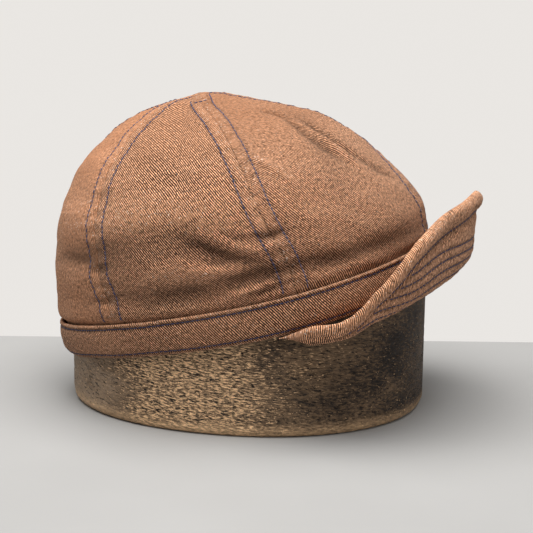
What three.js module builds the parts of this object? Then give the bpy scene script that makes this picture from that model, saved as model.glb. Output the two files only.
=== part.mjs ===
// A soft denim cap with six crown panels, a folded band and a short turned-up brim,
// tilted back on the oval wooden hat block that carries it.
// Millimetres, +Z up, +X towards the brim. The origin is the middle of the block's base.
import * as THREE from 'three';

const DEGREE = Math.PI / 180;

// How the cap sits on the block: the front is raised, and the place is the middle of the cap's rim.
const CAP_TILT = 14 * DEGREE;
const CAP_CENTRE = new THREE.Vector3(3, 0, 47.5);

// Every level section is an oval, a little squarer than an ellipse, whose front and back
// halves have their own length. An azimuth is measured from the front towards the cap's right.
const SQUARENESS = 2.12;

// Crown, outside: half-lengths and half-width of the oval at each height over the rim.
const CROWN_SECTIONS = [
  { height: 15, front: 102.6, back: 102.8, side: 88.0 },
  { height: 19, front: 103.2, back: 104.2, side: 88.7 },
  { height: 20.5, front: 104.0, back: 105.9, side: 89.4 },
  { height: 22, front: 105.0, back: 106.7, side: 90.0 },
  { height: 25, front: 105.6, back: 106.4, side: 90.4 },
  { height: 35, front: 105.4, back: 104.2, side: 90.6 },
  { height: 48, front: 101.2, back: 101.4, side: 90.2 },
  { height: 65, front: 90.4, back: 96.2, side: 86.2 },
  { height: 82, front: 77.8, back: 88.2, side: 76.5 },
  { height: 98, front: 60.5, back: 77.0, side: 62.5 },
  { height: 110, front: 38.5, back: 61.4, side: 43.5 },
  { height: 118, front: 19.0, back: 46.5, side: 28.0 },
  { height: 122.5, front: 8.5, back: 31.0, side: 15.5 },
  { height: 125, front: 1.4, back: 1.4, side: 1.4 },
];
const CROWN_TOP = CROWN_SECTIONS.at(-1).height;
const APEX_SHIFT = -2;
const CROWN_WALL = 1.6;
const PANEL_GAP = 0.3;
const PANEL_PUFF = 0.5;
const PANEL_COLUMNS = 14;
// Rows above the band, over one row that is tucked into it up to the leaving height.
const PANEL_ROWS = 17;
const CROWN_LEAVES_BAND = 21;

// The seams between the panels. Some turn a little on their way down, from the high height
// to the low one, and keep that turn below it.
const SEAMS = {
  front: { azimuth: -21.5, turn: 20, low: 44, high: 92 },
  right: { azimuth: 64.2, turn: -2.2, low: 20, high: 60 },
  rightBack: { azimuth: 121, turn: -3.3, low: 24, high: 52 },
  back: { azimuth: 180, turn: 0, low: 20, high: 60 },
  backAgain: { azimuth: -180, turn: 0, low: 20, high: 60 },
  leftBack: { azimuth: -121, turn: 0, low: 20, high: 60 },
  left: { azimuth: -62, turn: 0, low: 20, high: 60 },
};
const CROWN_PANELS = [
  { name: 'front_right', from: SEAMS.front, to: SEAMS.right },
  { name: 'side_right', from: SEAMS.right, to: SEAMS.rightBack },
  { name: 'back_right', from: SEAMS.rightBack, to: SEAMS.back },
  { name: 'back_left', from: SEAMS.backAgain, to: SEAMS.leftBack },
  { name: 'side_left', from: SEAMS.leftBack, to: SEAMS.left },
  { name: 'front_left', from: SEAMS.left, to: SEAMS.front },
];

// Dents and folds of the crown. A row gives the place of the middle by azimuth and height,
// the rise of its line towards the front, its reach along and across that line, and its
// depth. A negative depth is a soft ridge.
const FOLDS = [
  { azimuth: 82, height: 49, rise: -36, along: 20, across: 9, depth: 2.2 },
  { azimuth: 84, height: 62, rise: -30, along: 26, across: 11, depth: -1.2 },
  { azimuth: 64, height: 50, rise: -2, along: 14, across: 7, depth: 0.9 },
  { azimuth: 73, height: 32, rise: 6, along: 24, across: 7, depth: 1.6 },
  { azimuth: 84, height: 39, rise: -12, along: 28, across: 7, depth: -1.3 },
  { azimuth: 116, height: 57, rise: -4, along: 46, across: 9, depth: 1.8 },
  { azimuth: 122, height: 72, rise: -4, along: 44, across: 13, depth: -1.3 },
  { azimuth: 104, height: 31, rise: -10, along: 34, across: 7, depth: 1.2 },
  { azimuth: 40, height: 28, rise: 2, along: 38, across: 8, depth: 0.9 },
  { azimuth: 24, height: 88, rise: 60, along: 34, across: 8, depth: 0.9 },
  { azimuth: -70, height: 46, rise: -28, along: 26, across: 10, depth: 2.6 },
  { azimuth: -95, height: 34, rise: 8, along: 34, across: 8, depth: 2.0 },
  { azimuth: -38, height: 25, rise: 4, along: 40, across: 9, depth: 2.0 },
  { azimuth: -128, height: 58, rise: 6, along: 40, across: 10, depth: 1.8 },
];

// Band, outside: the oval at each height over the rim. The crown is tucked 4 mm into it.
const BAND_SECTIONS = [
  { height: 0, front: 103.0, back: 106.4, side: 88.6 },
  { height: 4, front: 104.6, back: 108.4, side: 90.2 },
  { height: 12, front: 105.8, back: 108.7, side: 91.2 },
  { height: 19, front: 106.0, back: 107.2, side: 91.4 },
];
// Round the band's wall: how far each edge of the fold lies inside the outer face.
const BAND_PROFILE = [
  { height: 0.0, inside: 1.1 },
  { height: 0.7, inside: 0.3 },
  { height: 2.2, inside: 0.0 },
  { height: 10.0, inside: 0.0 },
  { height: 17.6, inside: 0.0 },
  { height: 18.7, inside: 0.4 },
  { height: 19.0, inside: 1.1 },
  { height: 18.2, inside: 1.9 },
  { height: 10.0, inside: 2.0 },
  { height: 2.0, inside: 2.0 },
  { height: 0.5, inside: 1.8 },
];
const BAND_STATIONS = 72;

// The rim isn't flat: it rises in front and behind and dips at the sides, less so higher up.
const RIM_WAVE = { twice: 1.8, thrice: 0.9 };

// Brim: its length from the rim, and the slope of its profile where it leaves the rim and
// past the bend, in degrees above the level of the rim.
const BRIM_SECTIONS = [
  { azimuth: -69.5, length: 1.2, start: 20, end: 6 },
  { azimuth: -66, length: 5.5, start: 0, end: 28 },
  { azimuth: -61, length: 19.6, start: -73, end: 53 },
  { azimuth: -54, length: 22.5, start: -86, end: 44 },
  { azimuth: -44, length: 33.0, start: -31, end: 54 },
  { azimuth: -32, length: 46.0, start: -20, end: 68 },
  { azimuth: -20, length: 50.0, start: -11, end: 74 },
  { azimuth: -10, length: 55.4, start: -7, end: 72 },
  { azimuth: 0, length: 60.2, start: -6, end: 73 },
  { azimuth: 10, length: 57.9, start: -5, end: 73 },
  { azimuth: 20, length: 54.0, start: -8, end: 77 },
  { azimuth: 32, length: 51.0, start: -16, end: 70 },
  { azimuth: 44, length: 33.5, start: -31, end: 54 },
  { azimuth: 54, length: 22.5, start: -86, end: 44 },
  { azimuth: 61, length: 19.6, start: -73, end: 53 },
  { azimuth: 66, length: 5.5, start: 0, end: 28 },
  { azimuth: 69.5, length: 1.2, start: 20, end: 6 },
];
const BRIM_BEND = 0.58;
const BRIM_DROP = { end: 0.7, middle: 1.9 };
// The cloth thins over this angle at each end, where it slips under the band.
const BRIM_TAPER = 5;
const BRIM_INSET = 0.6;
const BRIM_HALF_THICKNESS = 1.3;
// The rolled edge: its width, or its share of a short brim, and how far it stands from the middle.
const BRIM_ROLL = { width: 9, share: 0.35, above: 1.7, below: 3.5 };
const BRIM_STATIONS = 40;
const BRIM_FLAT_STEPS = 8;
// Where the roll's face is cut, as shares of its width back from the free edge.
const BRIM_ROLL_STEPS = [0.92, 0.62, 0.34, 0.12];

// Block: an upright oval log with a softened foot and, under the cap, a plain dome.
const BLOCK = {
  halfLength: 98.5,
  halfWidth: 85.4,
  footRadius: 4,
  shoulder: 68,
  domeHeight: 84,
  domeSquareness: 2.2,
};
const BLOCK_STATIONS = 48;
const BLOCK_FOOT_STEPS = 3;
const BLOCK_DOME_STEPS = 8;

const CLOTH = { color: 0xa97654, roughness: 0.95, metalness: 0 };
const BAND_CLOTH = { color: 0x8a6049, roughness: 0.95, metalness: 0 };
const WOOD = { color: 0x55402f, roughness: 0.8, metalness: 0 };

// Value of a column of a table at a place, by a monotone cubic through its rows.
function along(rows, place, key, column) {
  const last = rows.length - 1;
  const step = (i) => rows[i + 1][place] - rows[i][place];
  const rate = (i) => (rows[i + 1][column] - rows[i][column]) / step(i);
  const slope = (i) => {
    if (i === 0) return rate(0);
    if (i === last) return rate(last - 1);
    const before = rate(i - 1);
    const after = rate(i);
    if (before * after <= 0) return 0;
    const w1 = 2 * step(i) + step(i - 1);
    const w2 = step(i) + 2 * step(i - 1);
    return (w1 + w2) / (w1 / before + w2 / after);
  };
  const at = THREE.MathUtils.clamp(key, rows[0][place], rows[last][place]);
  let i = 0;
  while (i < last - 1 && at > rows[i + 1][place]) i += 1;
  const h = step(i);
  const t = (at - rows[i][place]) / h;
  const u = 1 - t;
  return (
    (1 + 2 * t) * u * u * rows[i][column] +
    t * u * u * h * slope(i) +
    t * t * (3 - 2 * t) * rows[i + 1][column] -
    t * t * u * h * slope(i + 1)
  );
}

// Point of a level oval at an azimuth, in the cap's frame.
function ovalPoint(front, back, side, azimuth, height) {
  const c = Math.cos(azimuth);
  const s = Math.sin(azimuth);
  const fuller = (Math.abs(c) ** SQUARENESS + Math.abs(s) ** SQUARENESS) ** (-1 / SQUARENESS);
  return new THREE.Vector3((c > 0 ? front : back) * c * fuller, -side * s * fuller, height);
}

// Lift of a section because the rim isn't flat.
function rimLift(azimuth, height) {
  const wave = RIM_WAVE.twice * Math.cos(2 * azimuth) + RIM_WAVE.thrice * Math.cos(3 * azimuth);
  return wave * (1 - THREE.MathUtils.clamp(height / CROWN_TOP, 0, 1));
}

function sectionPoint(rows, azimuth, height) {
  const columns = ['front', 'back', 'side'];
  const [front, back, side] = columns.map((column) => along(rows, 'height', height, column));
  const point = ovalPoint(front, back, side, azimuth, height);
  point.z += rimLift(azimuth, height);
  return point;
}

// The crown's sections move back a little towards its top.
function crownShift(height) {
  return APEX_SHIFT * (height / CROWN_TOP) ** 2;
}

function crownSmooth(azimuth, height) {
  const point = sectionPoint(CROWN_SECTIONS, azimuth, height);
  point.x += crownShift(height);
  return point;
}

function bandSmooth(azimuth, height) {
  return sectionPoint(BAND_SECTIONS, azimuth, height);
}

// Outward normal and tangents of a surface given by azimuth and height.
function frameAt(surface, azimuth, height, low, high) {
  const turn = 0.4 * DEGREE;
  const reach = 0.4;
  const level = surface(azimuth - turn, height).sub(surface(azimuth + turn, height)).normalize();
  const above = Math.min(height + reach, high);
  const below = Math.max(height - reach, low);
  const up = surface(azimuth, above).sub(surface(azimuth, below)).normalize();
  const out = new THREE.Vector3().crossVectors(level, up).normalize();
  return { level, up, out };
}

function crownFrame(azimuth, height) {
  return frameAt(crownSmooth, azimuth, height, CROWN_SECTIONS[0].height, CROWN_TOP);
}

// Each fold with its middle point and the directions along and across its line.
const PLACED_FOLDS = FOLDS.map((fold) => {
  const azimuth = fold.azimuth * DEGREE;
  const { level, up, out } = crownFrame(azimuth, fold.height);
  const rise = fold.rise * DEGREE;
  const line = level.clone().multiplyScalar(Math.cos(rise)).addScaledVector(up, Math.sin(rise));
  const across = new THREE.Vector3().crossVectors(out, line);
  return { ...fold, middle: crownSmooth(azimuth, fold.height), line, crossing: across, out };
});

// How deep the folds press the cloth in at a point of the smooth crown.
function foldDepth(point, height) {
  const free = THREE.MathUtils.smoothstep(height, 19, 27);
  return PLACED_FOLDS.reduce((depth, fold) => {
    const offset = point.clone().sub(fold.middle);
    const near = Math.exp(-((offset.dot(fold.out) / 40) ** 2));
    const lengthwise = Math.exp(-((offset.dot(fold.line) / fold.along) ** 2));
    const sideways = Math.exp(-((offset.dot(fold.crossing) / fold.across) ** 2));
    return depth + free * near * lengthwise * sideways * fold.depth;
  }, 0);
}

// A panel swells a little between its two seams.
function panelPuff(share, height) {
  const low = THREE.MathUtils.smoothstep(height, 19, 40);
  const high = THREE.MathUtils.smoothstep(height, 100, 122);
  return PANEL_PUFF * low * (1 - high) * (1 - (2 * share - 1) ** 2);
}

// Where a seam is at a height.
function seamAzimuth({ azimuth, turn, low, high }, height) {
  return (azimuth + turn * (1 - THREE.MathUtils.smoothstep(height, low, high))) * DEGREE;
}

// Heights that split the crown's slope from a low height to the top into equal steps.
function evenHeights(count, low) {
  const samples = Array.from({ length: 201 }, (_, i) => low + ((CROWN_TOP - low) * i) / 200);
  const points = samples.map((height) => crownSmooth(90 * DEGREE, height));
  const run = [0];
  for (let i = 1; i < points.length; i += 1) run.push(run[i - 1] + points[i].distanceTo(points[i - 1]));
  return Array.from({ length: count + 1 }, (_, k) => {
    const wanted = (run.at(-1) * k) / count;
    const i = Math.min(Math.max(run.findIndex((r) => r >= wanted), 1), run.length - 1);
    const t = (wanted - run[i - 1]) / (run[i] - run[i - 1]);
    return samples[i - 1] + t * (samples[i] - samples[i - 1]);
  });
}

// Closed mesh from points and a list of quads, each given by its four corner indices.
function solidMesh(name, points, quads, look) {
  const positions = points.flatMap((p) => [p.x, p.y, p.z]);
  const index = quads.flatMap(([a, b, c, d]) => (d === undefined ? [a, b, c] : [a, b, c, a, c, d]));
  let volume = 0;
  for (let i = 0; i < index.length; i += 3) {
    const [a, b, c] = [0, 1, 2].map((k) => points[index[i + k]]);
    volume += a.dot(new THREE.Vector3().crossVectors(b, c));
  }
  if (volume < 0) {
    for (let i = 0; i < index.length; i += 3) [index[i + 1], index[i + 2]] = [index[i + 2], index[i + 1]];
  }
  const geometry = new THREE.BufferGeometry();
  geometry.setAttribute('position', new THREE.Float32BufferAttribute(positions, 3));
  geometry.setIndex(index);
  geometry.computeVertexNormals();
  const mesh = new THREE.Mesh(geometry, new THREE.MeshStandardMaterial(look));
  mesh.name = name;
  return mesh;
}

// A wall between an outer and an inner sheet of the same grid, closed round its four edges.
function wallMesh(name, outer, inner, look) {
  const rows = outer.length;
  const columns = outer[0].length;
  const points = [...outer.flat(), ...inner.flat()];
  const o = (i, j) => i * columns + j;
  const n = (i, j) => rows * columns + i * columns + j;
  const quads = [];
  for (let i = 0; i < rows - 1; i += 1) {
    for (let j = 0; j < columns - 1; j += 1) {
      quads.push([o(i, j), o(i, j + 1), o(i + 1, j + 1), o(i + 1, j)]);
      quads.push([n(i, j), n(i + 1, j), n(i + 1, j + 1), n(i, j + 1)]);
    }
    quads.push([o(i, 0), o(i + 1, 0), n(i + 1, 0), n(i, 0)]);
    quads.push([o(i + 1, columns - 1), o(i, columns - 1), n(i, columns - 1), n(i + 1, columns - 1)]);
  }
  for (let j = 0; j < columns - 1; j += 1) {
    quads.push([o(0, j + 1), o(0, j), n(0, j), n(0, j + 1)]);
    quads.push([o(rows - 1, j), o(rows - 1, j + 1), n(rows - 1, j + 1), n(rows - 1, j)]);
  }
  return solidMesh(name, points, quads, look);
}

// One crown panel: its outer sheet, and the same sheet one cloth's thickness further in.
function crownPanel(panel) {
  const outer = [];
  const inner = [];
  const small = 0.5 * DEGREE;
  for (const height of [CROWN_SECTIONS[0].height, ...evenHeights(PANEL_ROWS, CROWN_LEAVES_BAND)]) {
    const from = seamAzimuth(panel.from, height);
    const to = seamAzimuth(panel.to, height);
    const outerRow = [];
    const innerRow = [];
    for (let j = 0; j <= PANEL_COLUMNS; j += 1) {
      const share = j / PANEL_COLUMNS;
      const plain = from + (to - from) * share;
      const { x, y } = crownSmooth(plain, height);
      const slant = crownFrame(plain, height).out;
      const span = crownSmooth(plain + small, height).distanceTo(crownSmooth(plain - small, height));
      const radius = Math.hypot(x - crownShift(height), y);
      const shrink = 1 - (CROWN_WALL * Math.hypot(slant.x, slant.y)) / radius;
      const azimuth = plain + (((1 - 2 * share) * PANEL_GAP) / 2) * ((2 * small) / (span * shrink));
      const point = crownSmooth(azimuth, height);
      const { out } = crownFrame(azimuth, height);
      const swell = panelPuff(share, height) - foldDepth(point, height);
      outerRow.push(point.clone().addScaledVector(out, swell));
      innerRow.push(point.clone().addScaledVector(out, swell - CROWN_WALL));
    }
    outer.push(outerRow);
    inner.push(innerRow);
  }
  return wallMesh(`crown_panel_${panel.name}`, outer, inner, CLOTH);
}

// The band: its profile carried once round the rim.
function band() {
  const corners = BAND_PROFILE.length;
  const low = BAND_SECTIONS[0].height;
  const high = BAND_SECTIONS.at(-1).height;
  const points = [];
  const quads = [];
  for (let i = 0; i < BAND_STATIONS; i += 1) {
    const azimuth = (360 * DEGREE * i) / BAND_STATIONS;
    for (const { height, inside } of BAND_PROFILE) {
      const { out } = frameAt(bandSmooth, azimuth, height, low, high);
      points.push(bandSmooth(azimuth, height).addScaledVector(out, -inside));
    }
    const next = (i + 1) % BAND_STATIONS;
    for (let k = 0; k < corners; k += 1) {
      const following = (k + 1) % corners;
      const here = i * corners;
      const there = next * corners;
      quads.push([here + k, there + k, there + following, here + following]);
    }
  }
  return solidMesh('band', points, quads, BAND_CLOTH);
}

function brimSection(azimuth, column) {
  return along(BRIM_SECTIONS, 'azimuth', azimuth / DEGREE, column);
}

// Share of its full thickness that the brim has at an azimuth.
function brimFullness(azimuth) {
  const left = BRIM_SECTIONS.at(-1).azimuth - Math.abs(azimuth / DEGREE);
  return THREE.MathUtils.lerp(0.15, 1, THREE.MathUtils.smoothstep(left, 0, BRIM_TAPER));
}

// Middle of the brim's cloth at an azimuth, a given way out from the rim.
function brimMiddle(azimuth, share) {
  const [length, start, end] = ['length', 'start', 'end'].map((column) => brimSection(azimuth, column));
  const rim = bandSmooth(azimuth, 0);
  const { level } = frameAt(bandSmooth, azimuth, 0, 0, 1);
  const out = new THREE.Vector3(level.y, -level.x, 0).normalize();
  const steps = 24;
  let ahead = -BRIM_INSET;
  let rise = -THREE.MathUtils.lerp(BRIM_DROP.end, BRIM_DROP.middle, brimFullness(azimuth));
  for (let k = 0; k < steps; k += 1) {
    const t = ((k + 0.5) / steps) * share;
    const slope = THREE.MathUtils.lerp(start, end, THREE.MathUtils.smoothstep(t, 0, BRIM_BEND)) * DEGREE;
    ahead += (Math.cos(slope) * length * share) / steps;
    rise += (Math.sin(slope) * length * share) / steps;
  }
  return rim.addScaledVector(out, ahead).add(new THREE.Vector3(0, 0, rise));
}

// How far a face of the brim stands from its middle, a given way back from the free edge.
function brimSide(back, roll, bulge) {
  const full = BRIM_HALF_THICKNESS + (bulge - BRIM_HALF_THICKNESS) * (roll / BRIM_ROLL.width);
  const round = full * Math.sqrt(Math.max(0, 1 - ((2 * back) / roll - 1) ** 2));
  return back > roll / 2 ? Math.max(round, BRIM_HALF_THICKNESS) : round;
}

// The brim: a closed profile at each station, along its top to the rolled edge and back below.
function brim() {
  const reach = BRIM_SECTIONS.at(-1).azimuth * DEGREE;
  const profiles = [];
  // The stations come closer together towards both ends.
  const quarter = 83 * DEGREE;
  for (let i = 0; i <= BRIM_STATIONS; i += 1) {
    const azimuth = (reach * Math.sin(quarter * ((2 * i) / BRIM_STATIONS - 1))) / Math.sin(quarter);
    const length = brimSection(azimuth, 'length');
    const fullness = brimFullness(azimuth);
    const roll = Math.min(BRIM_ROLL.width, BRIM_ROLL.share * length);
    const flat = 1 - roll / length;
    const steps = Array.from({ length: BRIM_FLAT_STEPS + 1 }, (_, k) => k / BRIM_FLAT_STEPS);
    const shares = steps.map((step) => flat * step);
    for (const step of BRIM_ROLL_STEPS) shares.push(1 - (step * roll) / length);
    const top = [];
    const bottom = [];
    for (const share of shares) {
      const small = 0.01;
      const middle = brimMiddle(azimuth, share);
      const further = brimMiddle(azimuth, Math.min(share + small, 1));
      const outward = further.sub(brimMiddle(azimuth, Math.max(share - small, 0)));
      const sideways = brimMiddle(azimuth + small, share).sub(brimMiddle(azimuth - small, share));
      const normal = new THREE.Vector3().crossVectors(sideways, outward).normalize();
      const back = (1 - share) * length;
      const above = brimSide(back, roll, BRIM_ROLL.above) * fullness;
      const below = brimSide(back, roll, BRIM_ROLL.below) * fullness;
      top.push(middle.clone().addScaledVector(normal, above));
      bottom.push(middle.clone().addScaledVector(normal, -below));
    }
    profiles.push([...top, brimMiddle(azimuth, 1), ...bottom.reverse()]);
  }
  const corners = profiles[0].length;
  const points = profiles.flat();
  const quads = [];
  for (let i = 0; i < BRIM_STATIONS; i += 1) {
    for (let k = 0; k < corners; k += 1) {
      const following = (k + 1) % corners;
      const here = i * corners;
      const next = here + corners;
      quads.push([here + k, next + k, next + following, here + following]);
    }
  }
  const half = (corners - 1) / 2;
  for (let k = 0; k < half; k += 1) {
    const mirror = corners - 1 - k;
    const last = BRIM_STATIONS * corners;
    const ends = k === half - 1 ? [[k, k + 1, mirror]] : [[k, k + 1, mirror - 1, mirror]];
    for (const end of ends) {
      quads.push(end);
      quads.push(end.map((corner) => last + corner).reverse());
    }
  }
  return solidMesh('brim', points, quads, BAND_CLOTH);
}

// The block: level rings from the foot over the shoulder to the top of the dome.
function hatBlock() {
  const { halfLength, halfWidth, footRadius, shoulder, domeHeight, domeSquareness } = BLOCK;
  const rings = [];
  for (let k = 0; k <= BLOCK_FOOT_STEPS; k += 1) {
    const turn = (90 * DEGREE * k) / BLOCK_FOOT_STEPS;
    const inset = footRadius * (1 - Math.sin(turn));
    rings.push({ inset, scale: 1, z: footRadius * (1 - Math.cos(turn)) });
  }
  for (let k = 0; k < BLOCK_DOME_STEPS; k += 1) {
    const turn = (90 * DEGREE * k) / BLOCK_DOME_STEPS;
    const scale = Math.cos(turn) ** (2 / domeSquareness);
    rings.push({ inset: 0, scale, z: shoulder + domeHeight * Math.sin(turn) ** (2 / domeSquareness) });
  }
  const points = [];
  const quads = [];
  rings.forEach(({ inset, scale, z }, i) => {
    for (let j = 0; j < BLOCK_STATIONS; j += 1) {
      const azimuth = (360 * DEGREE * j) / BLOCK_STATIONS;
      const length = (halfLength - inset) * scale;
      points.push(ovalPoint(length, length, (halfWidth - inset) * scale, azimuth, z));
      const next = (j + 1) % BLOCK_STATIONS;
      const here = i * BLOCK_STATIONS;
      const above = here + BLOCK_STATIONS;
      if (i < rings.length - 1) quads.push([here + j, here + next, above + next, above + j]);
    }
  });
  const bottom = points.push(new THREE.Vector3(0, 0, 0)) - 1;
  const top = points.push(new THREE.Vector3(0, 0, shoulder + domeHeight)) - 1;
  const upper = (rings.length - 1) * BLOCK_STATIONS;
  for (let j = 0; j < BLOCK_STATIONS; j += 1) {
    const next = (j + 1) % BLOCK_STATIONS;
    quads.push([bottom, next, j]);
    quads.push([top, upper + j, upper + next]);
  }
  return solidMesh('hat_block', points, quads, WOOD);
}

const cap = new THREE.Group();
cap.position.copy(CAP_CENTRE);
cap.rotation.y = -CAP_TILT;
for (const panel of CROWN_PANELS) cap.add(crownPanel(panel));
cap.add(band());
cap.add(brim());

const group = new THREE.Group();
group.add(cap);
group.add(hatBlock());

export default group;
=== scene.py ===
# A soft brown denim cap, tilted back on a worn wooden hat block.
# Sizes are in millimetres and angles in degrees until a mesh or a material is made.
import math

import bpy
import numpy as np
from mathutils import Matrix, Vector


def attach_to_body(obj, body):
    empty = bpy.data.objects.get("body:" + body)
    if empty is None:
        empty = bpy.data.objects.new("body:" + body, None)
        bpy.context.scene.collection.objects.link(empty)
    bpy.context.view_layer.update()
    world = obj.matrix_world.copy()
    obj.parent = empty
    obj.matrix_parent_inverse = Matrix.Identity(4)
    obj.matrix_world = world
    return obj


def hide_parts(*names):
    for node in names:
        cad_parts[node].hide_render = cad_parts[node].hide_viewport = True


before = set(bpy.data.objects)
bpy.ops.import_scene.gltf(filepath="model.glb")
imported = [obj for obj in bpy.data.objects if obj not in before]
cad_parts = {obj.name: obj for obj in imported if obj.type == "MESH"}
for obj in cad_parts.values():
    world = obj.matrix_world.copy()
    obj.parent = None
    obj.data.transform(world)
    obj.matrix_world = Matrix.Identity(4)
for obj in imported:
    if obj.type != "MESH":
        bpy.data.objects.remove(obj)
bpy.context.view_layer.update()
MM = 0.001

# The camera, as the photograph was taken

CAMERA_PLACE = (219.8, -792.3, 236.9)
CAMERA_AHEAD = (-0.2509, 0.9479, -0.1962)
CAMERA_ROLL = 0.7
CAMERA_LENS = 101.3
SENSOR_WIDTH = 36.0


def add_camera():
    """A camera that looks ahead from its place, rolled a little about its own axis."""
    ahead = Vector(CAMERA_AHEAD).normalized()
    right = ahead.cross(Vector((0, 0, 1))).normalized()
    up = right.cross(ahead)
    roll = math.radians(CAMERA_ROLL)
    turned_right = right * math.cos(roll) + up * math.sin(roll)
    turned_up = up * math.cos(roll) - right * math.sin(roll)
    data = bpy.data.cameras.new("photo_camera")
    data.lens = CAMERA_LENS
    data.sensor_width = SENSOR_WIDTH
    camera = bpy.data.objects.new("photo_camera", data)
    axes = Matrix((turned_right, turned_up, -ahead)).transposed().to_4x4()
    camera.matrix_world = Matrix.Translation(Vector(CAMERA_PLACE) * MM) @ axes
    bpy.context.scene.collection.objects.link(camera)
    bpy.context.scene.camera = camera


# Tables and level sections


def table(columns, *rows):
    """A short table as named columns, a row for each section or fold."""
    return dict(zip(columns.split(), np.array(rows, dtype=float).T))


def read_column(rows, place, column, at):
    """A column's value at any place: a monotone cubic through the rows, whose slope at a
    row is the harmonic mean of the steps on both sides, or 0 where they change sign."""
    x, y = rows[place], rows[column]
    step = np.diff(x)
    rate = np.diff(y) / step
    before, after = rate[:-1], rate[1:]
    weight_before = 2 * step[1:] + step[:-1]
    weight_after = step[1:] + 2 * step[:-1]
    same_way = before * after > 0
    safe_before = np.where(same_way, before, 1)
    safe_after = np.where(same_way, after, 1)
    mean = (weight_before + weight_after) / (weight_before / safe_before + weight_after / safe_after)
    slope = np.concatenate([rate[:1], np.where(same_way, mean, 0), rate[-1:]])
    at = np.clip(at, x[0], x[-1])
    i = np.clip(np.searchsorted(x, at, side="right") - 1, 0, len(x) - 2)
    t = (at - x[i]) / step[i]
    u = 1 - t
    start = (1 + 2 * t) * u * u * y[i] + t * u * u * step[i] * slope[i]
    end = t * t * (3 - 2 * t) * y[i + 1] - t * t * u * step[i] * slope[i + 1]
    return start + end


def ease(low, high, value):
    """Smooth step from 0 at low to 1 at high."""
    t = np.clip((value - low) / (high - low), 0, 1)
    return t * t * (3 - 2 * t)


def bell(value, width):
    """Gaussian bump: 1 at 0, falling to about a third at one width."""
    return np.exp(-((value / width) ** 2))


def ripples(u, v, shortest, longest, seed, count=20):
    """Soft random relief, mostly between -1 and 1: the sum of sine waves over u and v
    whose wavelengths, directions and phases come from the seed."""
    chance = np.random.default_rng(seed)
    lengths = np.exp(chance.uniform(math.log(shortest), math.log(longest), count))
    turns = chance.uniform(0, math.pi, count)
    phases = chance.uniform(0, 2 * math.pi, count)
    total = 0
    for length, turn, phase in zip(lengths, turns, phases):
        total = total + np.sin(2 * math.pi * (u * math.cos(turn) + v * math.sin(turn)) / length + phase)
    return total / math.sqrt(count)


CAP_TILT = math.radians(14)
CAP_CENTRE = np.array([3.0, 0.0, 47.5])
SQUARENESS = 2.12

CROWN_SECTIONS = table(
    "height front back side",
    (15, 102.6, 102.8, 88.0),
    (19, 103.2, 104.2, 88.7),
    (20.5, 104.0, 105.9, 89.4),
    (22, 105.0, 106.7, 90.0),
    (25, 105.6, 106.4, 90.4),
    (35, 105.4, 104.2, 90.6),
    (48, 101.2, 101.4, 90.2),
    (65, 90.4, 96.2, 86.2),
    (82, 77.8, 88.2, 76.5),
    (98, 60.5, 77.0, 62.5),
    (110, 38.5, 61.4, 43.5),
    (118, 19.0, 46.5, 28.0),
    (122.5, 8.5, 31.0, 15.5),
    (125, 0.5, 0.5, 0.5),
)
CROWN_LOW = CROWN_SECTIONS["height"][0]
CROWN_TOP = CROWN_SECTIONS["height"][-1]
APEX_SHIFT = -2

BAND_SECTIONS = table(
    "height front back side",
    (0, 103.0, 106.4, 88.6),
    (4, 104.6, 108.4, 90.2),
    (12, 105.8, 108.7, 91.2),
    (19, 106.0, 107.2, 91.4),
)
BAND_HEIGHT = BAND_SECTIONS["height"][-1]
RIM_WAVE = {"twice": 1.8, "thrice": 0.9}

# The soft brim is a little shorter on the cap's left, and turned up a little less.
BRIM_SECTIONS = table(
    "azimuth length start end",
    (-69.5, 1.2, 20, 6),
    (-66, 5.5, 0, 28),
    (-61, 19.6, -73, 53),
    (-54, 22.5, -86, 44),
    (-44, 33.0, -31, 54),
    (-32, 46.0, -20, 68),
    (-20, 50.0, -11, 74),
    (-10, 55.4, -7, 72),
    (0, 60.2, -6, 73),
    (10, 57.9, -5, 73),
    (20, 54.0, -8, 77),
    (32, 51.0, -16, 70),
    (44, 33.5, -31, 54),
    (54, 22.5, -86, 44),
    (61, 19.6, -73, 53),
    (66, 5.5, 0, 28),
    (69.5, 1.2, 20, 6),
)
BRIM_BEND = 0.58
BRIM_DROP = 1.9
BRIM_INSET = 0.6


def oval(front, back, side, azimuth):
    """Level oval, a little squarer than an ellipse, with its own half-length to the front
    and to the back. The azimuth runs from the front to the cap's right."""
    c, s = np.cos(azimuth), np.sin(azimuth)
    fuller = (np.abs(c) ** SQUARENESS + np.abs(s) ** SQUARENESS) ** (-1 / SQUARENESS)
    return np.where(c > 0, front, back) * c * fuller, -side * s * fuller


def rim_lift(azimuth, height):
    """The rim rises in front and behind and dips at the sides, less so higher up."""
    wave = RIM_WAVE["twice"] * np.cos(2 * azimuth) + RIM_WAVE["thrice"] * np.cos(3 * azimuth)
    return wave * (1 - np.clip(height / CROWN_TOP, 0, 1))


def section_point(rows, azimuth, height):
    """Point of the stacked ovals of a table, with the rim's lift."""
    azimuth, height = np.broadcast_arrays(azimuth, height)
    sizes = [read_column(rows, "height", name, height) for name in ("front", "back", "side")]
    x, y = oval(*sizes, azimuth)
    return np.stack([x, y, height + rim_lift(azimuth, height)], -1)


def crown_smooth(azimuth, height):
    """The crown without dents, whose sections move back a little towards the top."""
    point = section_point(CROWN_SECTIONS, azimuth, height)
    point[..., 0] += APEX_SHIFT * (np.broadcast_to(height, point.shape[:-1]) / CROWN_TOP) ** 2
    return point


def band_smooth(azimuth, height):
    """The outer face of the band without its stitches and puckers: its stacked ovals."""
    return section_point(BAND_SECTIONS, azimuth, height)


def unit(vectors):
    """Vectors divided by their lengths."""
    return vectors / np.maximum(np.linalg.norm(vectors, axis=-1, keepdims=True), 1e-12)


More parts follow.
